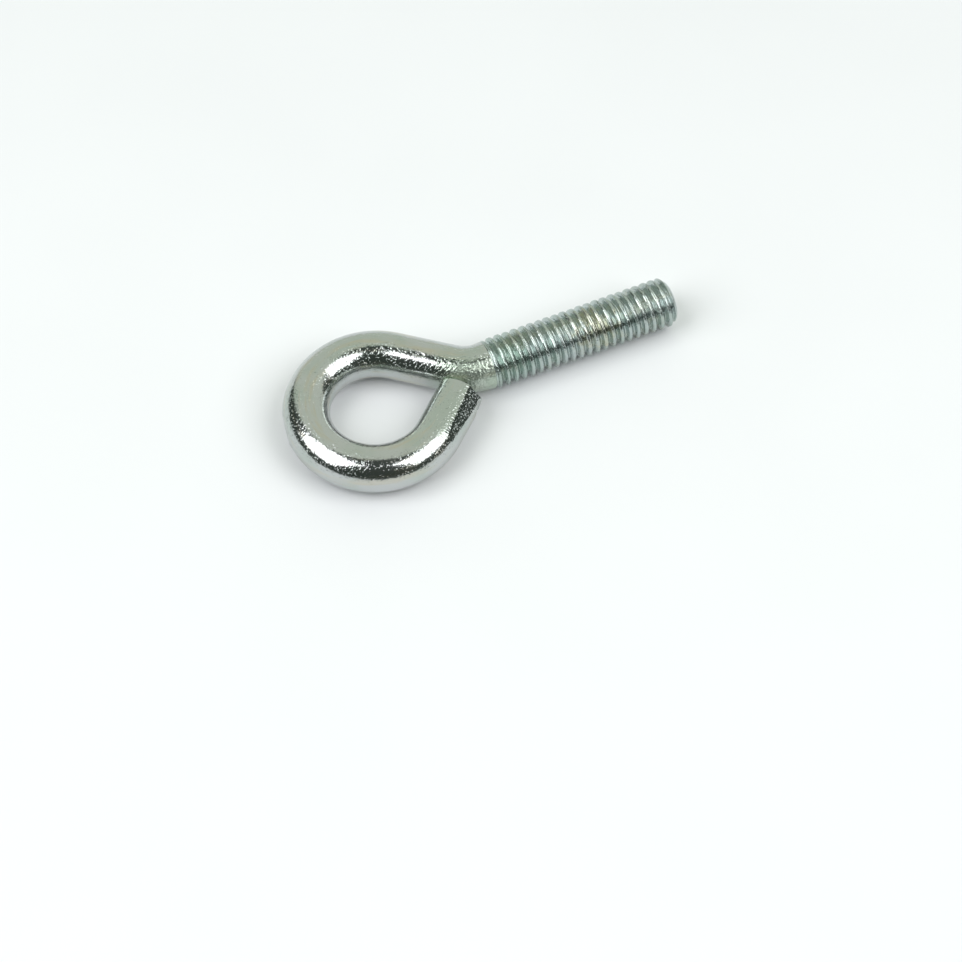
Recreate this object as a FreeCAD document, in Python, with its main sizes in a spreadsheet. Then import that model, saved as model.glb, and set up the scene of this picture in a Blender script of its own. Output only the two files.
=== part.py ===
"""Eye bolt bent from one length of steel wire, with a coarse metric thread rolled on its shank.

The wire leaves the thread, bends sideways, runs round the eye and comes back to butt against
its own neck.  The real bolt is a single piece.  It is modelled as two solids that meet face to
face on the plane where the rolled thread begins: the bent wire and the threaded shank.

Frame, in millimetres: the origin is the centre of the eye, on the wire's mid-plane.  +X runs
along the shank to its tip, +Z is square to the plane of the eye, and the bolt lies flat.
"""

import FreeCAD, Part
import math
import os
import Sketcher

Vector = FreeCAD.Vector

# alias on the sheet, value, what it is
DIMENSIONS = [
    ("wire_diameter", 5.3, "plain wire, which is also the thread's pitch diameter"),
    ("eye_inside_diameter", 10.0, "clear round opening of the eye"),
    ("shank_offset", 0.7, "from the eye's centre across to the shank's axis"),
    ("neck_slope", 38.3, "degrees between the neck's straight stretch and the shank"),
    ("neck_bend_radius", 5.5, "bend from neck to shank, at the wire's centre"),
    ("free_end_slope", 41.4, "degrees between the straight free end and the shank"),
    ("free_end_length", 5.95, "length of the straight free end, up to the neck"),
    ("free_end_break", 0.2, "edge broken round the sheared end"),
    ("thread_start", 13.8, "from the eye's centre to where the thread begins"),
    ("thread_length", 22.5, "from where the thread begins to the tip"),
    ("thread_diameter", 5.8, "major diameter, over the crests"),
    ("thread_pitch", 1.0, "from one crest to the next"),
    ("thread_lead", 0.38, "length over which the blank swells from wire to thread"),
    ("tip_length", 0.63, "length of the chamfer at the tip"),
    ("tip_diameter", 4.5, "flat end of the shank"),
]

# ISO metric thread form: 60 degrees between the flanks, and these shares of the pitch
THREAD_DEPTH = 0.6134
ROOT_FLAT = 1 / 6
FLANK_SLOPE = math.radians(30)

# the blank is turned in sectors, which leaves its crests as short strips of cylinder
SECTORS = 8


def make_sheet(doc):
    """The driving dimensions, one row each, with the alias on the value's cell."""
    sheet = doc.addObject("Spreadsheet::Sheet", "dims")
    for row, (alias, value, meaning) in enumerate(DIMENSIONS, start=1):
        sheet.set(f"A{row}", meaning)
        sheet.set(f"B{row}", str(value))
        sheet.setAlias(f"B{row}", alias)
    doc.recompute()
    return sheet


def make_body(doc, name):
    """A body for one sub-part; its label is the name that its file gets."""
    body = doc.addObject("PartDesign::Body", name)
    body.Label = name
    body.Placement = FreeCAD.Placement()
    return body


def datum(body, role):
    """One of the body's own origin planes or axes."""
    return next(item for item in body.Origin.OriginFeatures if item.Role == role)


def new_sketch(body, name, role):
    """A sketch laid on one of the body's own origin planes."""
    sketch = body.newObject("Sketcher::SketchObject", name)
    sketch.AttachmentSupport = [(datum(body, role), "")]
    sketch.MapMode = "FlatFace"
    return sketch


def constrain(sketch, *constraints):
    """Adds plain geometric constraints, each given as the Sketcher's own arguments."""
    for arguments in constraints:
        sketch.addConstraint(Sketcher.Constraint(*arguments))


def drive(sketch, name, expression, *arguments):
    """Adds one dimension, whose last argument is its first value, and binds it to the sheet."""
    sketch.addConstraint(Sketcher.Constraint(*arguments))
    sketch.renameConstraint(sketch.ConstraintCount - 1, name)
    sketch.setExpression(f"Constraints.{name}", expression)


def line(sketch, start, end):
    return sketch.addGeometry(Part.LineSegment(start, end))


def arc(sketch, centre, radius, first_angle, last_angle):
    circle = Part.Circle(centre, Vector(0, 0, 1), radius)
    return sketch.addGeometry(Part.ArcOfCircle(circle, first_angle, last_angle))


def wire_centre_line(body, sheet):
    """The path of the wire: shank, neck bend, neck, eye and free end, each tangent to the next."""
    ring = (sheet.eye_inside_diameter + sheet.wire_diameter) / 2
    bend = sheet.neck_bend_radius
    slope = math.radians(sheet.neck_slope)
    end_slope = math.radians(sheet.free_end_slope)
    quarter = math.pi / 2

    start = Vector(sheet.thread_start, sheet.shank_offset)
    neck_top = Vector(ring * math.sin(slope), ring * math.cos(slope))
    neck_drop = neck_top.y - sheet.shank_offset - bend * (1 - math.cos(slope))
    neck_foot = neck_top + Vector(neck_drop / math.tan(slope), -neck_drop)
    bend_centre = Vector(neck_foot.x + bend * math.sin(slope), sheet.shank_offset + bend)
    bend_end = Vector(bend_centre.x, sheet.shank_offset)
    end_foot = Vector(ring * math.sin(end_slope), -ring * math.cos(end_slope))
    end_run = Vector(math.cos(end_slope), math.sin(end_slope)) * sheet.free_end_length

    sketch = new_sketch(body, "wire_centre_line", "XY_Plane")
    shank = line(sketch, start, bend_end)
    neck_bend = arc(sketch, bend_centre, bend, 3 * quarter - slope, 3 * quarter)
    neck = line(sketch, neck_foot, neck_top)
    eye = arc(sketch, Vector(), ring, quarter - slope, 3 * quarter + end_slope)
    free_end = line(sketch, end_foot, end_foot + end_run)

    first, last, centre = 1, 2, 3
    origin, x_axis = -1, -1
    constrain(
        sketch,
        ("Horizontal", shank),
        ("Tangent", shank, last, neck_bend, last),
        ("Tangent", neck_bend, first, neck, first),
        ("Tangent", neck, last, eye, first),
        ("Tangent", eye, last, free_end, first),
        ("Coincident", eye, centre, origin, first),
    )
    drive(sketch, "ring", "(dims.eye_inside_diameter + dims.wire_diameter) / 2",
          "Radius", eye, ring)
    drive(sketch, "bend", "dims.neck_bend_radius", "Radius", neck_bend, bend)
    drive(sketch, "start", "dims.thread_start",
          "DistanceX", origin, first, shank, first, sheet.thread_start)
    drive(sketch, "offset", "dims.shank_offset",
          "DistanceY", origin, first, shank, first, sheet.shank_offset)
    drive(sketch, "neck_slope", "180 deg - dims.neck_slope * 1 deg",
          "Angle", x_axis, neck, math.pi - slope)
    drive(sketch, "end_slope", "dims.free_end_slope * 1 deg",
          "Angle", x_axis, free_end, end_slope)
    drive(sketch, "end_length", "dims.free_end_length",
          "Distance", free_end, sheet.free_end_length)
    return sketch


def wire_section(body, sheet):
    """The round section of the wire, standing on the plane where the thread begins."""
    sketch = new_sketch(body, "wire_section", "YZ_Plane")
    sketch.setExpression("AttachmentOffset.Base.z", "dims.thread_start")
    sketch.AttachmentOffset = FreeCAD.Placement(
        Vector(0, 0, sheet.thread_start), FreeCAD.Rotation()
    )
    radius = sheet.wire_diameter / 2
    centre = Vector(sheet.shank_offset, 0)
    circle = sketch.addGeometry(Part.Circle(centre, Vector(0, 0, 1), radius))
    constrain(sketch, ("PointOnObject", circle, 3, -1))
    drive(sketch, "radius", "dims.wire_diameter / 2", "Radius", circle, radius)
    drive(sketch, "offset", "dims.shank_offset",
          "DistanceX", -1, 1, circle, 3, sheet.shank_offset)
    return sketch


def make_eye(doc, sheet):
    """The bent wire: a round section carried along the centre line, its sheared edge broken."""
    body = make_body(doc, "eye")
    path = wire_centre_line(body, sheet)
    section = wire_section(body, sheet)
    doc.recompute()

    pipe = body.newObject("PartDesign::AdditivePipe", "bent_wire")
    pipe.Profile = section
    pipe.Spine = (path, [])
    pipe.Refine = False
    doc.recompute()

    edge_break = body.newObject("PartDesign::Chamfer", "sheared_edge")
    edge_break.Base = (pipe, [round_edge_at(pipe.Shape, path.Shape.Vertexes[-1].Point)])
    edge_break.setExpression("Size", "dims.free_end_break")
    body.Tip = edge_break
    doc.recompute()
    return body


def round_edge_at(shape, centre):
    """The name of the closed edge that goes round the given point."""
    distances = [
        (edge.CenterOfMass.distanceToPoint(centre), number)
        for number, edge in enumerate(shape.Edges, start=1)
        if edge.isClosed()
    ]
    return f"Edge{min(distances)[1]}"


def closed_outline(sketch, corners):
    """Lines from corner to corner and back to the first; returns their numbers."""
    ends = corners[1:] + corners[:1]
    sides = [line(sketch, start, end) for start, end in zip(corners, ends)]
    followers = sides[1:] + sides[:1]
    for side, follower in zip(sides, followers):
        constrain(sketch, ("Coincident", side, 2, follower, 1))
    return sides


def blank_outline(body, sheet):
    """Half the section of the blank: wire, swelling, thread diameter, chamfered tip."""
    wire = sheet.wire_diameter / 2
    crest = sheet.thread_diameter / 2
    flat = sheet.tip_diameter / 2
    start = sheet.thread_start
    tip = start + sheet.thread_length

    sketch = new_sketch(body, "blank_outline", "XY_Plane")
    corners = [
        Vector(start, 0),
        Vector(start, wire),
        Vector(start + sheet.thread_lead, crest),
        Vector(tip - sheet.tip_length, crest),
        Vector(tip, flat),
        Vector(tip, 0),
    ]
    joint, swelling, _, chamfer, end, axis = closed_outline(sketch, corners)
    constrain(
        sketch,
        ("Vertical", joint),
        ("Vertical", end),
        ("PointOnObject", joint, 1, -1),
        ("PointOnObject", end, 2, -1),
    )
    drive(sketch, "start", "dims.thread_start", "DistanceX", -1, 1, joint, 1, start)
    drive(sketch, "length", "dims.thread_length",
          "DistanceX", axis, 2, axis, 1, sheet.thread_length)
    drive(sketch, "wire", "dims.wire_diameter / 2", "DistanceY", -1, 1, joint, 2, wire)
    drive(sketch, "crest", "dims.thread_diameter / 2", "DistanceY", -1, 1, swelling, 2, crest)
    drive(sketch, "crest_at_tip", "dims.thread_diameter / 2",
          "DistanceY", -1, 1, chamfer, 1, crest)
    drive(sketch, "lead", "dims.thread_lead",
          "DistanceX", swelling, 1, swelling, 2, sheet.thread_lead)
    drive(sketch, "chamfer", "dims.tip_length",
          "DistanceX", chamfer, 1, chamfer, 2, sheet.tip_length)
    drive(sketch, "flat", "dims.tip_diameter / 2", "DistanceY", -1, 1, end, 1, flat)
    return sketch


def groove_outline(body, sheet):
    """Section of the thread's groove, half a pitch before the thread begins.

    It is a trapezoid: its narrow side is the root, and its wide side stands a quarter of the
    thread's depth clear of the crests.
    """
    pitch = sheet.thread_pitch
    depth = THREAD_DEPTH * pitch
    clear = depth / 4
    root = sheet.thread_diameter / 2 - depth
    middle = sheet.thread_start - pitch / 2
    narrow = ROOT_FLAT * pitch / 2
    wide = narrow + (depth + clear) * math.tan(FLANK_SLOPE)

    sketch = new_sketch(body, "groove_outline", "XY_Plane")
    corners = [
        Vector(middle - narrow, root),
        Vector(middle + narrow, root),
        Vector(middle + wide, root + depth + clear),
        Vector(middle - wide, root + depth + clear),
    ]
    bottom, rising, top, falling = closed_outline(sketch, corners)
    constrain(
        sketch,
        ("Horizontal", bottom),
        ("Horizontal", top),
        ("Equal", rising, falling),
    )
    drive(sketch, "root_flat", f"dims.thread_pitch * {ROOT_FLAT:.6f}",
          "Distance", bottom, 2 * narrow)
    drive(sketch, "height", f"dims.thread_pitch * {THREAD_DEPTH} * 1.25",
          "DistanceY", rising, 1, rising, 2, depth + clear)
    drive(sketch, "flank", "60 deg", "Angle", -1, rising, math.pi / 2 - FLANK_SLOPE)
    drive(sketch, "root", f"dims.thread_diameter / 2 - dims.thread_pitch * {THREAD_DEPTH}",
          "DistanceY", -1, 1, bottom, 1, root)
    drive(sketch, "middle",
          f"dims.thread_start - dims.thread_pitch * {0.5 + ROOT_FLAT / 2:.6f}",
          "DistanceX", -1, 1, bottom, 1, middle - narrow)
    return sketch


def make_threaded_shank(doc, sheet):
    """The shank: a turned blank with a helical groove, placed beside the eye's centre line."""
    body = make_body(doc, "threaded_shank")
    outline = blank_outline(body, sheet)
    groove_section = groove_outline(body, sheet)
    shank_axis = (datum(body, "X_Axis"), [""])

    sector = body.newObject("PartDesign::Revolution", "blank_sector")
    sector.Profile = outline
    sector.ReferenceAxis = shank_axis
    sector.Angle = 360 / SECTORS
    sector.Refine = False
    doc.recompute()

    blank = body.newObject("PartDesign::PolarPattern", "blank")
    blank.Originals = [sector]
    blank.Axis = shank_axis
    blank.Angle = 360
    blank.Occurrences = SECTORS
    blank.Refine = False
    body.Tip = blank
    doc.recompute()

    groove = body.newObject("PartDesign::SubtractiveHelix", "thread_groove")
    groove.Profile = groove_section
    groove.ReferenceAxis = shank_axis
    groove.Mode = "pitch-height-angle"
    groove.setExpression("Pitch", "dims.thread_pitch")
    groove.setExpression("Height", "dims.thread_length + 2 * dims.thread_pitch")
    groove.Refine = False
    body.Tip = groove
    body.setExpression("Placement.Base.y", "dims.shank_offset")
    doc.recompute()
    return body


def check_document(doc):
    """Stops if any object failed, since a recompute can leave one failed without raising."""
    failed = [
        item.Name for item in doc.Objects
        if {"Invalid", "Error"} & set(item.State)
    ]
    if failed:
        raise RuntimeError(f"objects failed: {', '.join(failed)}")


def check_solid(body):
    """Stops unless the body is one valid closed solid."""
    shape = body.Shape
    if shape.isNull() or not shape.isValid() or len(shape.Solids) != 1:
        raise RuntimeError(f"{body.Label} is not one valid solid")


def check_wire(eye):
    """The pipe's volume has to be its section's area times its path's length."""
    path, section, pipe = eye.Group[:3]
    expected = Part.Face(section.Shape.Wires[0]).Area * path.Shape.Length
    if abs(pipe.Shape.Volume - expected) > 0.001 * expected:
        raise RuntimeError("the bent wire is not as long as its centre line")


def check_groove(shank, sheet):
    """The groove has to take about its section times its helical length out of the blank."""
    blank = shank.getObject("blank").Shape.Volume
    depth = THREAD_DEPTH * sheet.thread_pitch
    width = 2 * (ROOT_FLAT * sheet.thread_pitch / 2 + depth / 2 * math.tan(FLANK_SLOPE))
    turn = math.pi * (sheet.thread_diameter - depth)
    expected = width * depth * turn * sheet.thread_length / sheet.thread_pitch
    if not 0.9 * expected < blank - shank.Shape.Volume < 1.1 * expected:
        raise RuntimeError("the thread's groove is missing or wrong")


def main():
    doc = FreeCAD.newDocument("eye_bolt")
    sheet = make_sheet(doc)
    eye = make_eye(doc, sheet)
    shank = make_threaded_shank(doc, sheet)
    doc.recompute()

    check_document(doc)
    check_wire(eye)
    check_groove(shank, sheet)
    os.makedirs("parts", exist_ok=True)
    for body in (eye, shank):
        check_solid(body)
        body.Shape.exportStep(f"parts/{body.Label}.step")
        print(f"{body.Label}: {body.Shape.Volume:.1f} mm3")


main()
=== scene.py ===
import math

import bpy
import numpy as np
from bpy.props import FloatProperty, FloatVectorProperty, IntProperty, PointerProperty
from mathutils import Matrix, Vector


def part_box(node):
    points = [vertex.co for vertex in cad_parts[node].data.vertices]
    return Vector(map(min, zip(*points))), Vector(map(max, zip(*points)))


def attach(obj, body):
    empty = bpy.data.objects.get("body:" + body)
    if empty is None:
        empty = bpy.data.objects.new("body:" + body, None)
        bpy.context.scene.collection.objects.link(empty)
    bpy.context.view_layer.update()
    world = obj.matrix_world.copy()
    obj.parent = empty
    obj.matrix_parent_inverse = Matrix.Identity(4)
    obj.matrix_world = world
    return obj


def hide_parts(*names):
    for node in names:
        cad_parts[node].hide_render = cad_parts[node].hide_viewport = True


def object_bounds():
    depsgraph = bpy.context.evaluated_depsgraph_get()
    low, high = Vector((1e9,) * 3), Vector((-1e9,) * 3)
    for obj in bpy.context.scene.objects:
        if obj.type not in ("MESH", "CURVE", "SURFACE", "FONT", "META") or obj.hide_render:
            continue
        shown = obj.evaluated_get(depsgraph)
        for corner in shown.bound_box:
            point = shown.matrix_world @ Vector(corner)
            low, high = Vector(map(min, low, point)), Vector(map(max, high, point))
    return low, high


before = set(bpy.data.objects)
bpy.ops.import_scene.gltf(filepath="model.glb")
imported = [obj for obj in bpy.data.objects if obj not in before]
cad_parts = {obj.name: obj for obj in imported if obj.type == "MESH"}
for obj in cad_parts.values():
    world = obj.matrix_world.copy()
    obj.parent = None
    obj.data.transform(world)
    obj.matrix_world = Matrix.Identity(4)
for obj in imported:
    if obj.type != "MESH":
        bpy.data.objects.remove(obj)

bl_info = {
    "name": "Bent-wire eye bolt",
    "version": (1, 0, 0),
    "blender": (4, 5, 0),
    "location": "View3D > Sidebar > Eye bolt",
    "description": "A zinc-plated eye bolt bent from wire, with a rolled thread, and a studio to show it in",
    "category": "Add Mesh",
}

MM = 0.001
CAD_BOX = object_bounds()
EYE_LOW, EYE_HIGH = (Vector(corner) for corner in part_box("eye"))
SHANK_LOW, SHANK_HIGH = (Vector(corner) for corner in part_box("threaded_shank"))
WIRE_RADIUS = EYE_HIGH.z
RING_RADIUS = EYE_HIGH.y - WIRE_RADIUS
CREST_RADIUS = SHANK_HIGH.z
SHANK_OFFSET = (SHANK_LOW.y + SHANK_HIGH.y) / 2
FULL_TURN = 2 * math.pi

# Where the neck joins the ring and where the bending pin pressed, as angles round the eye.
RING_START = 51.7
PIN_FLAT_PLACE = 171
PIN_FLAT_DEPTH = 0.2 * MM
PIN_FLAT_HALF_LENGTH = 1.6 * MM

# Flats on the free end; their angles go round the wire, in degrees, from the opening's side.
LONG_FLAT_ANGLE = 139
LONG_FLAT_DEPTH = 0.24 * MM
LONG_FLAT_LENGTH = 7.5 * MM
PINCH_ANGLE = 192
PINCH_DEPTH = 0.48 * MM
INNER_PINCH_ANGLE = 10
INNER_PINCH_DEPTH = 0.1 * MM

UNEVENNESS = 0.006 * MM
THREAD_FLARE = 0.09 * MM
EDGE_BREAK = 0.07 * MM
SHEARED_DOME = 0.08 * MM

# The thread's shape.  The flanks' angle is from square to the axis, in degrees, and the crest's
# half-width is a share of the pitch.
FLANK_ANGLE = 27
CREST_SHARE = 0.14
CREST_ROUNDING = 0.09 * MM
SEAM_DEPTH = 0.055 * MM
SEAM_HALF_WIDTH = 0.075 * MM
CREST_WEAR = 0.022 * MM
NICK_DEPTH = 0.12 * MM
BLANK_SWELL = 0.08 * MM

# Marks in the finish.  The neck mark's place is on the straightened wire.
NECK_MARK_PLACE = (7.7 * MM, 0.79 * MM, 2.53 * MM)
STAIN_PLACE = (26.5 * MM, SHANK_OFFSET - 1.8 * MM, 2.2 * MM)

# The stage.  Directions are an azimuth from -Y towards +X and an elevation, in degrees.
PANEL_DIRECTION = (146.5, 28.6)
PANEL_EDGE = (0.555, 0.61)
SOFTBOX_DISTANCE = 0.6
LEFT_SOFTBOX = {"azimuth": -93, "elevation": 49, "half_width": 20.5, "half_height": 23.5}
RIGHT_SOFTBOX = {"azimuth": 46, "elevation": 48.3, "half_width": 20, "half_height": 20.3}
RADIANCE_TO_POWER = 4
FLOOR_HALF_WIDTH = 2.0
CAMERA_DIRECTION = (-23.54, 54.86)
CAMERA_DISTANCE = 0.320
CAMERA_TARGET_X = 12 * MM
LENS = 107.27775
LENS_SHIFT = (0.0088358, -0.1151767)


# ---------------------------------------------------------------- sizes and colours


def length(name, description, default):
    """A length property, in metres."""
    return FloatProperty(
        name=name, description=description, default=default, unit="LENGTH", precision=5
    )


def angle(name, description, degrees):
    """An angle property, given in degrees and kept in radians."""
    return FloatProperty(
        name=name, description=description, default=math.radians(degrees), unit="ROTATION"
    )


def colour(name, description, default):
    """A linear red, green, blue property."""
    return FloatVectorProperty(
        name=name, description=description, default=default, subtype="COLOR", min=0, max=4
    )


class WireSizes(bpy.types.PropertyGroup):
    """The bent wire."""

    radius: length("Wire radius", "Half the thickness of the plain wire", WIRE_RADIUS)
    ring_radius: length("Ring radius", "Radius of the eye at the wire's centre", RING_RADIUS)
    neck_slope: angle("Neck slope", "Slope of the neck to the shank", 38.3)
    neck_bend: length("Neck bend", "Radius of the bend between neck and shank", 5.5 * MM)
    end_slope: angle("Free end slope", "Slope of the free end to the shank", 41.4)
    end_length: length("Free end", "Length of the straight free end", 5.95 * MM)
    easing: length("Easing", "Length over which each bend sets in", 0.9 * MM)
    rows: IntProperty(name="Rows", description="Rings of vertices along the wire", default=760)
    columns: IntProperty(name="Columns", description="Vertices round the wire", default=120)


class ThreadSizes(bpy.types.PropertyGroup):
    """The rolled thread."""

    pitch: length("Pitch", "Distance from crest to crest", 1.0 * MM)
    depth: length("Depth", "Depth of the groove below the crests", 0.6134 * MM)
    crest_radius: length("Crest radius", "Half the major diameter", CREST_RADIUS)
    start: length("Start", "Where the thread begins", SHANK_LOW.x)
    tip: length("Tip", "Where the shank ends", SHANK_HIGH.x)
    offset: length("Offset", "Distance of the shank's axis from the eye's centre", SHANK_OFFSET)
    run_in: length("Run-in", "Length over which the thread reaches full depth", 0.55 * MM)
    tip_chamfer: length("Tip chamfer", "Length of the chamfer at the tip", 0.63 * MM)
    tip_radius: length("Tip radius", "Radius of the flat end", 2.25 * MM)
    steps: IntProperty(name="Steps", description="Rings of vertices in one pitch", default=28)
    columns: IntProperty(name="Columns", description="Vertices round the shank", default=120)


class ZincFinish(bpy.types.PropertyGroup):
    """Bright zinc plating over steel."""

    bright: colour("Bright zinc", "Colour of clean plating", (0.53, 0.55, 0.55))
    green: colour("Green tint", "Passivation tint in patches", (0.47, 0.52, 0.49))
    yellow: colour("Yellow tint", "Warm streaks in the plating", (0.55, 0.52, 0.43))
    peel_tint: colour("Peel tint", "Tint of the side of the bend", (0.93, 1.0, 0.88))
    stain_tint: colour("Stain tint", "Tint of the stain on the thread", (0.97, 0.97, 0.83))
    thread_tint: colour("Thread tint", "Tint of the threaded length", (0.87, 0.95, 0.93))
    grain: length("Grain", "Size of the plating's grains", 0.22 * MM)
    grain_height: length("Grain height", "Height of the plating's grains", 0.022 * MM)
    speck: length("Speck", "Size of the sparse specks", 0.20 * MM)
    speck_height: length("Speck height", "Height of the sparse specks", 0.036 * MM)


class StudioSettings(bpy.types.PropertyGroup):
    """Floor, lights and surroundings."""

    floor: colour("Floor", "Colour of the floor", (0.83, 0.85, 0.87))
    panel: colour("Back panel", "Light from behind the bolt", (0.71, 0.76, 0.66))
    shade: colour("Shade", "Light from the camera's side", (0.055, 0.067, 0.058))
    softbox: FloatProperty(name="Softbox", description="Radiance of the softboxes", default=2.9)


# ---------------------------------------------------------------- surfaces


def ease(x, centre, width):
    """0 before the centre and 1 after it, with a cubic rise that is width long."""
    t = np.clip((x - centre) / width + 0.5, 0, 1)
    return t * t * (3 - 2 * t)


def bump(x, centre, width):
    """A smooth hump of height 1 at the centre, down to 0 at half its width on each side."""
    t = np.clip(1 - np.abs(x - centre) / (width / 2), 0, 1)
    return t * t * (3 - 2 * t)


def waves(along, around, seed, longest, count=14):
    """A gentle unevenness of about -1 to 1: cosines of random direction, phase and wavelength.

    along is a length, around an angle, whose multiples are whole so that the seam closes.
    """
    random = np.random.default_rng(seed)
    total = np.zeros(np.broadcast(along, around).shape)
    for _ in range(count):
        wavelength = longest * random.uniform(0.25, 1.0)
        turns = random.integers(-3, 4)
        phase = random.uniform(0, FULL_TURN)
        total += np.cos(FULL_TURN * along / wavelength + turns * around + phase)
    return total / math.sqrt(count / 2) / 2


def triangles_to_piece(name, points, faces, unrolled, material):
    """Puts vertices and triangles into a new, smooth mesh object.

    The attribute unrolled holds the place of each vertex on the straightened wire.
    """
    mesh = bpy.data.meshes.new(name)
    mesh.vertices.add(len(points))
    mesh.vertices.foreach_set("co", np.ascontiguousarray(points, np.float32).ravel())
    mesh.loops.add(faces.size)
    mesh.loops.foreach_set("vertex_index", faces.astype(np.int32).ravel())
    mesh.polygons.add(len(faces))
    mesh.polygons.foreach_set("loop_start", np.arange(0, faces.size, 3, dtype=np.int32))
    mesh.polygons.foreach_set("loop_total", np.full(len(faces), 3, np.int32))
    mesh.polygons.foreach_set("use_smooth", np.ones(len(faces), bool))
    layer = mesh.attributes.new("unrolled", "FLOAT_VECTOR", "POINT")
    layer.data.foreach_set("vector", np.ascontiguousarray(unrolled, np.float32).ravel())
    mesh.update(calc_edges=True)
    mesh.validate()
    mesh.materials.append(material)
    piece = bpy.data.objects.new(name, mesh)
    bpy.context.scene.collection.objects.link(piece)
    return piece


def tube_faces(rows, columns):
    """Triangles of a tube of rows of vertices, closed round, with a pole at each end.

    The vertices are row after row, then the first row's pole, then the last row's.
    """
    row = np.arange(rows - 1)[:, None] * columns
    here = np.arange(columns)[None, :]
    following = (here + 1) % columns
    a, b = row + here, row + following
    c, d = b + columns, a + columns
    sides = np.concatenate([np.stack([a, b, c], -1), np.stack([a, c, d], -1)]).reshape(-1, 3)
    last_row = (rows - 1) * columns
    first_pole, last_pole = rows * columns, rows * columns + 1
    ring, ring_after = here[0], following[0]
    first = np.stack([ring_after, ring, np.full(columns, first_pole)], -1)
    last = np.stack([last_row + ring, last_row + ring_after, np.full(columns, last_pole)], -1)
    return np.concatenate([sides, first, last])


# ---------------------------------------------------------------- bent wire


def wire_centre_line(sizes, thread):
    """Points and headings along the wire's centre, from the thread to the sheared end.

    The heading is the integral of the curvature, which is 0 on straights and one over the
    radius on bends, eased in and out; the place is the integral of the heading.  The result
    is shifted so that the eye's centre is the origin.
    """
    slope, end_slope = sizes.neck_slope, sizes.end_slope
    ring, bend, offset = sizes.ring_radius, sizes.neck_bend, thread.offset
    neck_rise = ring * math.cos(slope) - offset - bend * (1 - math.cos(slope))
    neck = neck_rise / math.sin(slope)
    bend_end = ring * math.sin(slope) + neck * math.cos(slope) + bend * math.sin(slope)
    lengths = [
        thread.start - bend_end,
        bend * slope,
        neck,
        ring * (math.pi + slope + end_slope),
        sizes.end_length,
    ]
    first, second, third, fourth, total = np.cumsum(lengths)

    fine = 24  # points of the integral for each row
    s = np.linspace(0, total, (sizes.rows - 1) * fine + 1)
    width = sizes.easing
    curvature = -(ease(s, first, min(width, 2 * first)) - ease(s, second, width)) / bend
    curvature += (ease(s, third, width) - ease(s, fourth, width)) / ring
    step = s[1]

    def integral(values):
        return np.concatenate([[0], np.cumsum((values[1:] + values[:-1]) / 2 * step)])

    heading = math.pi + integral(curvature)
    x = thread.start + integral(np.cos(heading))
    y = offset + integral(np.sin(heading))
    return s[::fine], x[::fine], y[::fine], heading[::fine], (third, total)


def flattened(around, centre, depth, radius):
    """Relief of a round bar cut by a plane that faces the angle centre and cuts depth deep."""
    facing = np.maximum(np.cos(around - centre), 0.05)
    return np.minimum((radius - depth) / facing - radius, 0)


def wire_relief(s, around, stations, sizes):
    """How far the surface stands off the round wire, in metres, negative inwards.

    around is 0 on the side of the eye's opening, a quarter turn on top and half a turn on
    the outside.  It is a gentle unevenness, plus planes that cut the bar: the flat that the
    bending pin pressed on the outside of the eye, the flat along the top outside of the free
    end, and the pinch of the shears at its outside, which leaves a small lip at the rim.
    """
    ring_start, total = stations
    radius, ring = sizes.radius, sizes.ring_radius
    uneven = UNEVENNESS * (waves(s, around, 11, 9 * MM) - 1.2)

    pin_mark = ring_start + ring * math.radians(PIN_FLAT_PLACE - RING_START)
    chord = np.clip(1 - ((s - pin_mark) / PIN_FLAT_HALF_LENGTH) ** 2, 0, 1)
    pin_flat = flattened(around, math.pi, PIN_FLAT_DEPTH * chord, radius)

    from_end = total - s
    long_depth = LONG_FLAT_DEPTH * np.clip(1 - from_end / LONG_FLAT_LENGTH, 0, 1)
    long_flat = flattened(around, math.radians(LONG_FLAT_ANGLE), long_depth, radius)
    pinch_depth = PINCH_DEPTH * ease(-from_end, -1.25 * MM, 1.6 * MM)
    lip = 0.5 * ease(-from_end, -0.2 * MM, 0.34 * MM)
    pinch = flattened(around, math.radians(PINCH_ANGLE), pinch_depth * (1 - lip), radius)
    inner_depth = INNER_PINCH_DEPTH * ease(-from_end, -1.0 * MM, 1.6 * MM)
    inner_pinch = flattened(around, math.radians(INNER_PINCH_ANGLE), inner_depth, radius)

    flare = THREAD_FLARE * (1 - ease(s, 0.8 * MM, 1.9 * MM))
    return uneven + flare + np.minimum(np.minimum(pin_flat, long_flat), pinch) + inner_pinch


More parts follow.
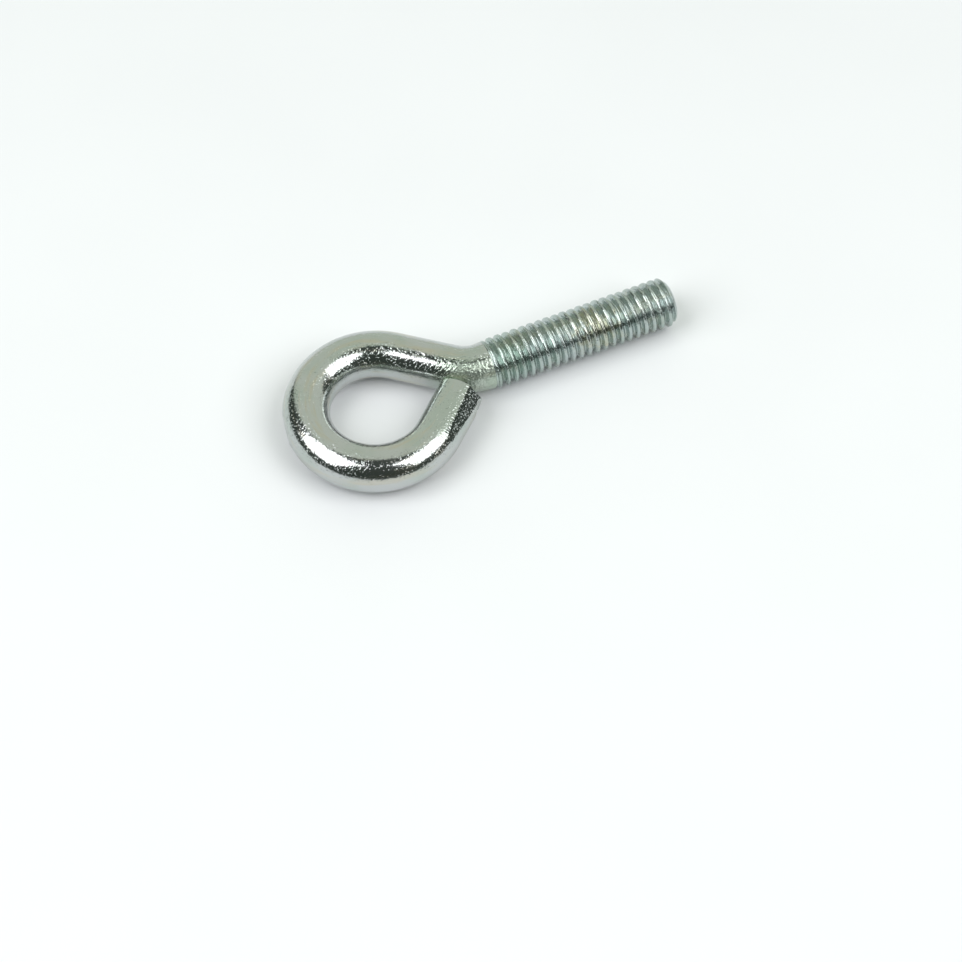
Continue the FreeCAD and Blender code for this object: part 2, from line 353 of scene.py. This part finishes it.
def bent_wire_surface(sizes, thread):
    """The wire's skin as a function of length and angle, then the sheared end face.

    Each row is a circle square to the centre line, pushed in or out by wire_relief.  The
    last rows shrink to a pole to close the sheared face, which is slightly domed and torn.
    """
    s, x, y, heading, stations = wire_centre_line(sizes, thread)
    around = np.arange(sizes.columns) / sizes.columns * FULL_TURN
    s_grid, around_grid = s[:, None], around[None, :]
    radius = sizes.radius + wire_relief(s_grid, around_grid, stations, sizes)

    inward = np.stack([-np.sin(heading), np.cos(heading), np.zeros_like(s)], -1)[:, None, :]
    up = np.array([0.0, 0.0, 1.0])
    normal = inward * np.cos(around_grid)[..., None] + up * np.sin(around_grid)[..., None]
    centre = np.stack([x, y, np.zeros_like(s)], -1)[:, None, :]
    skin = centre + radius[..., None] * normal

    shares = np.array([0.985, 0.95, 0.85, 0.7, 0.5, 0.3, 0.12])[:, None]
    torn = 0.03 * MM * waves(shares * 4 * MM, around_grid, 5, 3 * MM)
    edge_break = EDGE_BREAK * np.clip((1 - shares) / 0.05, 0, 1) + torn * (1 - shares)
    ahead = np.array([math.cos(heading[-1]), math.sin(heading[-1]), 0.0])
    face = centre[-1] + (radius[-1] * shares)[..., None] * normal[-1]
    face = face + edge_break[..., None] * ahead

    grid = np.concatenate([skin, face])
    first_pole, last_pole = centre[0, 0], centre[-1, 0] + SHEARED_DOME * ahead
    points = np.concatenate([grid.reshape(-1, 3), [first_pole, last_pole]])
    along = np.concatenate([s[:, None], s[-1] + (1 - shares) * sizes.radius])
    across = sizes.radius * np.concatenate([np.ones_like(s)[:, None], shares])
    unrolled = np.stack(
        np.broadcast_arrays(along, across * np.cos(around_grid), across * np.sin(around_grid)), -1
    )
    poles = [[s[0], 0, 0], [s[-1] + sizes.radius, 0, 0]]
    unrolled = np.concatenate([unrolled.reshape(-1, 3), poles])
    return points, tube_faces(len(grid), sizes.columns), unrolled


# ---------------------------------------------------------------- thread


def thread_profile(phase, sizes):
    """Radius below the crest over one pitch, 0 at the crest and the depth at the root.

    The flanks fall at about 60 degrees to the axis, and the crest and the root are rounded by a
    smooth minimum and maximum.  A shallow seam, as rolling leaves it, runs along the crest.
    """
    from_crest = np.abs((phase + 0.5) % 1.0 - 0.5) * sizes.pitch
    slope = 1 / math.tan(math.radians(FLANK_ANGLE))
    flat, soft = CREST_SHARE * sizes.pitch, CREST_ROUNDING
    sunk = soft * np.logaddexp(0, (from_crest - flat) * slope / soft)
    sunk = sunk - soft * math.log1p(math.exp(-flat * slope / soft))
    seam = SEAM_DEPTH * np.exp(-((from_crest / SEAM_HALF_WIDTH) ** 2))
    return sizes.depth - soft * np.logaddexp(0, (sizes.depth - sunk) / soft) + seam


def thread_surface(sizes, wire_radius):
    """The threaded skin as a helical strip, with rows that follow the crests.

    A row's place along the shank is its own phase plus the pitch times the turn, held
    between the two ends, so that rows run together at the ends and are merged there.  One
    turn on, a row meets the row a pitch further along.
    """
    steps, columns, pitch = sizes.steps, sizes.columns, sizes.pitch
    pitches = math.ceil((sizes.tip - sizes.start) / pitch) + 1
    rows = pitches * steps + 1
    phase = (np.arange(rows) / steps - 1)[:, None]
    turn = (np.arange(columns) / columns)[None, :]
    x = np.clip(sizes.start + pitch * (phase + turn), sizes.start, sizes.tip)
    around = turn * FULL_TURN

    wear = CREST_WEAR * np.minimum(waves(phase + turn, around, 23, 2.6, 20) - 1, -0.1)
    nicks = waves((phase + turn) * 3, around * 4, 31, 2.0, 18)
    wear = wear - NICK_DEPTH * np.clip(nicks - 0.8, 0, 0.6)
    sunk = thread_profile(phase, sizes)
    crest = sizes.crest_radius + wear * (1 - sunk / sizes.depth)
    radius = crest - sunk
    begun = ease(x, sizes.start + sizes.run_in / 2, sizes.run_in)
    blank = wire_radius + BLANK_SWELL
    radius = blank + (radius - blank) * begun
    to_tip = sizes.tip - x
    taper = (sizes.crest_radius - sizes.tip_radius) / sizes.tip_chamfer
    cone = sizes.tip_radius + to_tip * taper - 0.02 * MM * bump(to_tip, 0, 0.2 * MM)
    radius = np.minimum(radius, cone)
    grid = np.stack(
        [x, sizes.offset + radius * np.cos(around), radius * np.sin(around)], -1
    )

    turned = FULL_TURN * ((x - sizes.start) / pitch - turn)
    coil = pitch / FULL_TURN
    unrolled = np.stack([x, coil * np.cos(turned), coil * np.sin(turned)], -1)
    return grid, unrolled


def strip_faces(rows, columns, steps):
    """Triangles of the helical strip: the last column meets the first, one pitch further on."""
    row = np.arange(rows - 1)[:, None]
    column = np.arange(columns)[None, :]
    wraps = column + 1 == columns
    next_column = np.where(wraps, 0, column + 1)
    low = np.where(wraps, np.minimum(row + steps, rows - 1), row)
    high = np.where(wraps, np.minimum(row + 1 + steps, rows - 1), row + 1)
    a = row * columns + column
    b = low * columns + next_column
    c = high * columns + next_column
    d = (row + 1) * columns + column
    return np.concatenate([np.stack([a, c, b], -1), np.stack([a, d, c], -1)]).reshape(-1, 3)


def merged(points, faces, unrolled):
    """Merges vertices that share a place and drops the triangles that this closes up."""
    keys = np.round(points / 1e-8).astype(np.int64)
    _, kept, renumbered = np.unique(keys, axis=0, return_index=True, return_inverse=True)
    faces = renumbered.reshape(-1)[faces]
    a, b, c = faces.T
    open_faces = (a != b) & (b != c) & (c != a)
    return points[kept], faces[open_faces], unrolled[kept]


def shank_surface(sizes, wire_radius):
    """The threaded skin closed by a fan at each end."""
    grid, unrolled = thread_surface(sizes, wire_radius)
    rows, columns = grid.shape[:2]
    points = np.concatenate(
        [
            grid.reshape(-1, 3),
            [[sizes.start, sizes.offset, 0], [sizes.tip, sizes.offset, 0]],
        ]
    )
    poles = [[sizes.start, 0, 0], [sizes.tip, 0, 0]]
    unrolled = np.concatenate([unrolled.reshape(-1, 3), poles])
    here = np.arange(columns)
    following = (here + 1) % columns
    first_pole, last_pole = rows * columns, rows * columns + 1
    last_row = (rows - 1) * columns
    first = np.stack([here, following, np.full(columns, first_pole)], -1)
    last = np.stack([last_row + following, last_row + here, np.full(columns, last_pole)], -1)
    faces = np.concatenate([strip_faces(rows, columns, sizes.steps), first, last])
    return merged(points, faces, unrolled)


# ---------------------------------------------------------------- materials


class Nodes:
    """Short calls for building a node tree."""

    def __init__(self, tree):
        self.tree = tree

    def add(self, kind, **settings):
        node = self.tree.nodes.new(kind)
        for name, value in settings.items():
            setattr(node, name, value)
        return node

    def link(self, output, target):
        self.tree.links.new(output, target)

    def fill(self, socket, value):
        """Links the socket to an output, or sets its value."""
        if isinstance(value, bpy.types.NodeSocket):
            self.link(value, socket)
        else:
            socket.default_value = value

    def maths(self, operation, first, second=0.0):
        node = self.add("ShaderNodeMath", operation=operation)
        self.fill(node.inputs[0], first)
        self.fill(node.inputs[1], second)
        return node.outputs[0]

    def noise(self, vector, size, detail=2.0, roughness=0.5):
        """Noise whose features are about size metres across."""
        node = self.add("ShaderNodeTexNoise")
        self.link(vector, node.inputs["Vector"])
        node.inputs["Scale"].default_value = 1 / size
        node.inputs["Detail"].default_value = detail
        node.inputs["Roughness"].default_value = roughness
        return node.outputs["Fac"]

    def between(self, value, low, high, start=0.0, end=1.0):
        """Maps low..high smoothly to start..end."""
        node = self.add("ShaderNodeMapRange", interpolation_type="SMOOTHSTEP")
        self.link(value, node.inputs["Value"])
        ends = {"From Min": low, "From Max": high, "To Min": start, "To Max": end}
        for name, number in ends.items():
            node.inputs[name].default_value = number
        return node.outputs["Result"]

    def mix(self, share, first, second):
        """Mixes two colours."""
        node = self.add("ShaderNodeMix", data_type="RGBA")
        self.fill(node.inputs["Factor"], share)
        self.fill(node.inputs[6], first)
        self.fill(node.inputs[7], second)
        return node.outputs[2]

    def stretched(self, vector, scale):
        node = self.add("ShaderNodeMapping")
        self.link(vector, node.inputs["Vector"])
        node.inputs["Scale"].default_value = scale
        return node.outputs["Vector"]

    def bump(self, height, distance, strength=1.0, normal=None):
        node = self.add("ShaderNodeBump")
        self.link(height, node.inputs["Height"])
        node.inputs["Distance"].default_value = distance
        self.fill(node.inputs["Strength"], strength)
        if normal:
            self.link(normal, node.inputs["Normal"])
        return node.outputs["Normal"]


def opaque(values):
    """A colour with full alpha."""
    return (*values, 1.0)


def peel_mask(nodes, unrolled):
    """1 on the side of the bend that the free end butts against, where bending roughened it."""
    parts = nodes.add("ShaderNodeSeparateXYZ")
    nodes.link(unrolled, parts.inputs["Vector"])
    near = nodes.between(parts.outputs["X"], 6.6 * MM, 2.6 * MM)
    return nodes.maths("MULTIPLY", near, nodes.between(parts.outputs["Y"], 0.0, 1.4 * MM))


def neck_mark_mask(nodes, unrolled):
    """A shallow oval dent, 1.4 mm long and 0.5 mm wide, on top of the neck."""
    offset = nodes.add("ShaderNodeVectorMath", operation="SUBTRACT")
    nodes.link(unrolled, offset.inputs[0])
    offset.inputs[1].default_value = NECK_MARK_PLACE
    shortened = nodes.stretched(offset.outputs[0], (0.36 / MM, 1.0 / MM, 1.0 / MM))
    size = nodes.add("ShaderNodeVectorMath", operation="LENGTH")
    nodes.link(shortened, size.inputs[0])
    return nodes.between(size.outputs["Value"], 0.18, 0.3)


def tinted_zinc(nodes, place, streaks, tint, streak_share, finish):
    """Clean plating with green patches and warm streaks, times a tint."""
    patches = nodes.noise(place, 5.0 * MM, 3.0, 0.55)
    tinted = nodes.mix(
        nodes.between(patches, 0.40, 0.68), opaque(finish.bright), opaque(finish.green)
    )
    warmth = nodes.maths("MULTIPLY", nodes.between(streaks, 0.48, 0.72), streak_share)
    tinted = nodes.mix(warmth, tinted, opaque(finish.yellow))
    product = nodes.add("ShaderNodeMix", data_type="RGBA", blend_type="MULTIPLY")
    product.inputs["Factor"].default_value = 1.0
    nodes.link(tinted, product.inputs[6])
    nodes.fill(product.inputs[7], tint)
    return product.outputs[2]


def zinc_shader(nodes, colour_out, gloss, normal):
    """A metal shader joined to the material's output."""
    shader = nodes.add("ShaderNodeBsdfPrincipled")
    shader.inputs["Metallic"].default_value = 1.0
    nodes.link(colour_out, shader.inputs["Base Color"])
    nodes.link(gloss, shader.inputs["Roughness"])
    nodes.link(normal, shader.inputs["Normal"])
    output = nodes.add("ShaderNodeOutputMaterial")
    nodes.link(shader.outputs["BSDF"], output.inputs["Surface"])


def new_material(name):
    """An empty material, its nodes, its own place and its place on the straightened wire."""
    material = bpy.data.materials.new(name)
    material.use_nodes = True
    material.node_tree.nodes.clear()
    nodes = Nodes(material.node_tree)
    place = nodes.add("ShaderNodeTexCoord").outputs["Object"]
    unrolled = nodes.add("ShaderNodeAttribute", attribute_name="unrolled").outputs["Vector"]
    return material, nodes, place, unrolled


def plating_bumps(nodes, place, finish):
    """Slow swells, grains, and sparse specks, as a normal."""
    patches = nodes.noise(place, 4.0 * MM, 2.0, 0.5)
    normal = nodes.bump(nodes.noise(place, 1.5 * MM, 0.6, 0.5), 0.05 * MM, 0.5)
    coarse = nodes.between(patches, 0.35, 0.65, 0.6, 1.0)
    strength = nodes.maths("MULTIPLY", coarse, 0.53)
    grain = nodes.noise(place, finish.grain, 0.6, 0.5)
    normal = nodes.bump(grain, finish.grain_height, strength, normal)
    specks = nodes.between(nodes.noise(place, finish.speck, 0.5), 0.56, 0.76)
    return nodes.bump(specks, finish.speck_height, strength, normal)


def wire_material(finish):
    """Plating over drawn wire: fine lines along it, a mark on the neck, and a rough bend."""
    material, nodes, place, unrolled = new_material("zinc_plated_wire")
    drawn = nodes.noise(nodes.stretched(unrolled, (0.06, 1.0, 1.0)), 0.12 * MM, 3.0, 0.6)
    streaks = nodes.noise(nodes.stretched(unrolled, (0.16, 1.0, 1.0)), 1.0 * MM, 3.0, 0.6)
    peel = peel_mask(nodes, unrolled)

    normal = plating_bumps(nodes, place, finish)
    normal = nodes.bump(drawn, 0.006 * MM, 0.12, normal)
    normal = nodes.bump(nodes.noise(place, 0.36 * MM, 1.0), 0.10 * MM, peel, normal)
    normal = nodes.bump(neck_mark_mask(nodes, unrolled), 0.05 * MM, 1.0, normal)
    gloss = nodes.between(streaks, 0.3, 0.75, 0.11, 0.19)
    gloss = nodes.maths("MAXIMUM", gloss, nodes.maths("MULTIPLY", peel, 0.36))
    tint = nodes.mix(peel, opaque((1.0, 1.0, 1.0)), opaque(finish.peel_tint))
    zinc_shader(nodes, tinted_zinc(nodes, place, streaks, tint, 0.7, finish), gloss, normal)
    return material


def stain_mask(nodes, place):
    """1 in a ragged patch on the upper side of the thread, where the tint is warm."""
    offset = nodes.add("ShaderNodeVectorMath", operation="DISTANCE")
    nodes.link(place, offset.inputs[0])
    offset.inputs[1].default_value = STAIN_PLACE
    ragged = nodes.between(nodes.noise(place, 1.2 * MM, 3.0, 0.6), 0.3, 0.7, -1.6 * MM, 1.6 * MM)
    return nodes.between(nodes.maths("ADD", offset.outputs["Value"], ragged), 3.2 * MM, 0.8 * MM)


def thread_material(finish):
    """Plating over a rolled thread: fine ridges that follow the thread, and a duller skin."""
    material, nodes, place, unrolled = new_material("zinc_plated_thread")
    ridges = nodes.noise(nodes.stretched(unrolled, (0.05, 1.0, 1.0)), 0.16 * MM, 1.0, 0.6)
    stain = stain_mask(nodes, place)
    streaks = nodes.noise(nodes.stretched(place, (0.4, 1.0, 1.0)), 2.0 * MM, 3.0, 0.6)

    normal = plating_bumps(nodes, place, finish)
    normal = nodes.bump(ridges, 0.12 * MM, 1.0, normal)
    gloss = nodes.between(streaks, 0.3, 0.75, 0.21, 0.29)
    tint = nodes.mix(stain, opaque(finish.thread_tint), opaque(finish.stain_tint))
    zinc_shader(nodes, tinted_zinc(nodes, place, streaks, tint, 0.5, finish), gloss, normal)
    return material


def floor_material(settings):
    """A pale matt floor with a very faint mottle."""
    material = bpy.data.materials.new("pale_floor")
    material.use_nodes = True
    nodes = Nodes(material.node_tree)
    shader = material.node_tree.nodes["Principled BSDF"]
    place = nodes.add("ShaderNodeTexCoord").outputs["Object"]
    mottle = nodes.between(nodes.noise(place, 30 * MM), 0.3, 0.7)
    darker = [0.985 * value for value in settings.floor]
    nodes.link(
        nodes.mix(mottle, opaque(settings.floor), opaque(darker)), shader.inputs["Base Color"]
    )
    shader.inputs["Roughness"].default_value = 0.8
    shader.inputs["Specular IOR Level"].default_value = 0.1
    return material


# ---------------------------------------------------------------- operators


class EYEBOLT_OT_bent_wire(bpy.types.Operator):
    """Makes the eye, the neck and the free end"""

    bl_idname = "eyebolt.bent_wire"
    bl_label = "Bent wire"

    def execute(self, context):
        scene = context.scene
        points, faces, unrolled = bent_wire_surface(scene.eyebolt_wire, scene.eyebolt_thread)
        material = wire_material(scene.eyebolt_finish)
        piece = triangles_to_piece("bent_wire", points, faces, unrolled, material)
        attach(piece, "root")
        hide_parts("eye")
        return {"FINISHED"}


class EYEBOLT_OT_rolled_thread(bpy.types.Operator):
    """Makes the threaded shank"""

    bl_idname = "eyebolt.rolled_thread"
    bl_label = "Rolled thread"

    def execute(self, context):
        scene = context.scene
        points, faces, unrolled = shank_surface(scene.eyebolt_thread, scene.eyebolt_wire.radius)
        material = thread_material(scene.eyebolt_finish)
        piece = triangles_to_piece("rolled_thread", points, faces, unrolled, material)
        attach(piece, "root")
        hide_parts("threaded_shank")
        return {"FINISHED"}


def towards(azimuth, elevation):
    """Unit vector at an azimuth from -Y towards +X and an elevation, both in degrees."""
    a, e = math.radians(azimuth), math.radians(elevation)
    return Vector((math.sin(a) * math.cos(e), -math.cos(a) * math.cos(e), math.sin(e)))


def add_softbox(name, radiance, azimuth, elevation, half_width, half_height):
    """A rectangular area light that faces the bolt, sized by half angles seen from the bolt."""
    light = bpy.data.lights.new(name, "AREA")
    light.shape = "RECTANGLE"
    light.size = 2 * SOFTBOX_DISTANCE * math.tan(math.radians(half_width))
    light.size_y = 2 * SOFTBOX_DISTANCE * math.tan(math.radians(half_height))
    light.energy = RADIANCE_TO_POWER * light.size * light.size_y * radiance
    box = bpy.data.objects.new(name, light)
    direction = towards(azimuth, elevation)
    box.location = direction * SOFTBOX_DISTANCE
    box.rotation_euler = direction.to_track_quat("Z", "Y").to_euler()
    bpy.context.scene.collection.objects.link(box)


def add_surroundings(settings):
    """A broad panel of soft light behind the bolt and shade on the camera's side.

    The light from a direction depends on its dot product with the panel's own direction.
    The camera itself sees plain pale surroundings.
    """
    world = bpy.data.worlds.new("studio")
    world.use_nodes = True
    world.node_tree.nodes.clear()
    nodes = Nodes(world.node_tree)
    direction = nodes.add("ShaderNodeTexCoord").outputs["Generated"]
    facing = nodes.add("ShaderNodeVectorMath", operation="DOT_PRODUCT")
    nodes.link(direction, facing.inputs[0])
    facing.inputs[1].default_value = towards(*PANEL_DIRECTION)
    share = nodes.between(facing.outputs["Value"], *PANEL_EDGE)
    lit = nodes.mix(share, opaque(settings.shade), opaque(settings.panel))
    seen = nodes.add("ShaderNodeLightPath").outputs["Is Camera Ray"]
    background = nodes.add("ShaderNodeBackground")
    nodes.link(nodes.mix(seen, lit, opaque(settings.floor)), background.inputs["Color"])
    output = nodes.add("ShaderNodeOutputWorld")
    nodes.link(background.outputs["Background"], output.inputs["Surface"])
    bpy.context.scene.world = world


def add_floor(settings):
    """A wide pale floor, just under the lowest crest."""
    half, level = FLOOR_HALF_WIDTH, CAD_BOX[0].z
    mesh = bpy.data.meshes.new("floor")
    corners = [(x * half, y * half, level) for x, y in ((-1, -1), (1, -1), (1, 1), (-1, 1))]
    mesh.from_pydata(corners, [], [(0, 1, 2, 3)])
    mesh.materials.append(floor_material(settings))
    floor = bpy.data.objects.new("floor", mesh)
    bpy.context.scene.collection.objects.link(floor)


def add_camera(offset):
    """A long lens above and to the left of the eye, aimed at the neck, with a small shift."""
    data = bpy.data.cameras.new("camera")
    data.sensor_width = 36.0
    data.lens = LENS
    data.shift_x, data.shift_y = LENS_SHIFT
    camera = bpy.data.objects.new("camera", data)
    back = towards(*CAMERA_DIRECTION)
    camera.location = Vector((CAMERA_TARGET_X, offset, 0)) + back * CAMERA_DISTANCE
    camera.rotation_mode = "QUATERNION"
    camera.rotation_quaternion = back.to_track_quat("Z", "Y")
    bpy.context.scene.collection.objects.link(camera)
    bpy.context.scene.camera = camera


class EYEBOLT_OT_studio(bpy.types.Operator):
    """Makes the floor, the lights, the surroundings and the camera"""

    bl_idname = "eyebolt.studio"
    bl_label = "Studio"

    def execute(self, context):
        settings = context.scene.eyebolt_studio
        add_floor(settings)
        add_surroundings(settings)
        add_softbox("left_softbox", settings.softbox, **LEFT_SOFTBOX)
        add_softbox("right_softbox", settings.softbox, **RIGHT_SOFTBOX)
        add_camera(context.scene.eyebolt_thread.offset)
        context.scene.view_settings.view_transform = "Standard"
        return {"FINISHED"}


class EYEBOLT_PT_sidebar(bpy.types.Panel):
    """Lists the operators and their settings"""

    bl_label = "Eye bolt"
    bl_idname = "EYEBOLT_PT_sidebar"
    bl_space_type = "VIEW_3D"
    bl_region_type = "UI"
    bl_category = "Eye bolt"

    def draw(self, context):
        for operator, group in (
            (EYEBOLT_OT_bent_wire, context.scene.eyebolt_wire),
            (EYEBOLT_OT_rolled_thread, context.scene.eyebolt_thread),
            (EYEBOLT_OT_studio, context.scene.eyebolt_studio),
            (None, context.scene.eyebolt_finish),
        ):
            box = self.layout.box()
            if operator:
                box.operator(operator.bl_idname)
            for name in group.__annotations__:
                box.prop(group, name)


CLASSES = (
    WireSizes,
    ThreadSizes,
    ZincFinish,
    StudioSettings,
    EYEBOLT_OT_bent_wire,
    EYEBOLT_OT_rolled_thread,
    EYEBOLT_OT_studio,
    EYEBOLT_PT_sidebar,
)


def register():
    for item in CLASSES:
        bpy.utils.register_class(item)
    bpy.types.Scene.eyebolt_wire = PointerProperty(type=WireSizes)
    bpy.types.Scene.eyebolt_thread = PointerProperty(type=ThreadSizes)
    bpy.types.Scene.eyebolt_finish = PointerProperty(type=ZincFinish)
    bpy.types.Scene.eyebolt_studio = PointerProperty(type=StudioSettings)


def unregister():
    for name in ("eyebolt_wire", "eyebolt_thread", "eyebolt_finish", "eyebolt_studio"):
        delattr(bpy.types.Scene, name)
    for item in reversed(CLASSES):
        bpy.utils.unregister_class(item)


def main():
    register()
    bpy.ops.eyebolt.bent_wire()
    bpy.ops.eyebolt.rolled_thread()
    bpy.ops.eyebolt.studio()


if __name__ == "__main__":
    main()
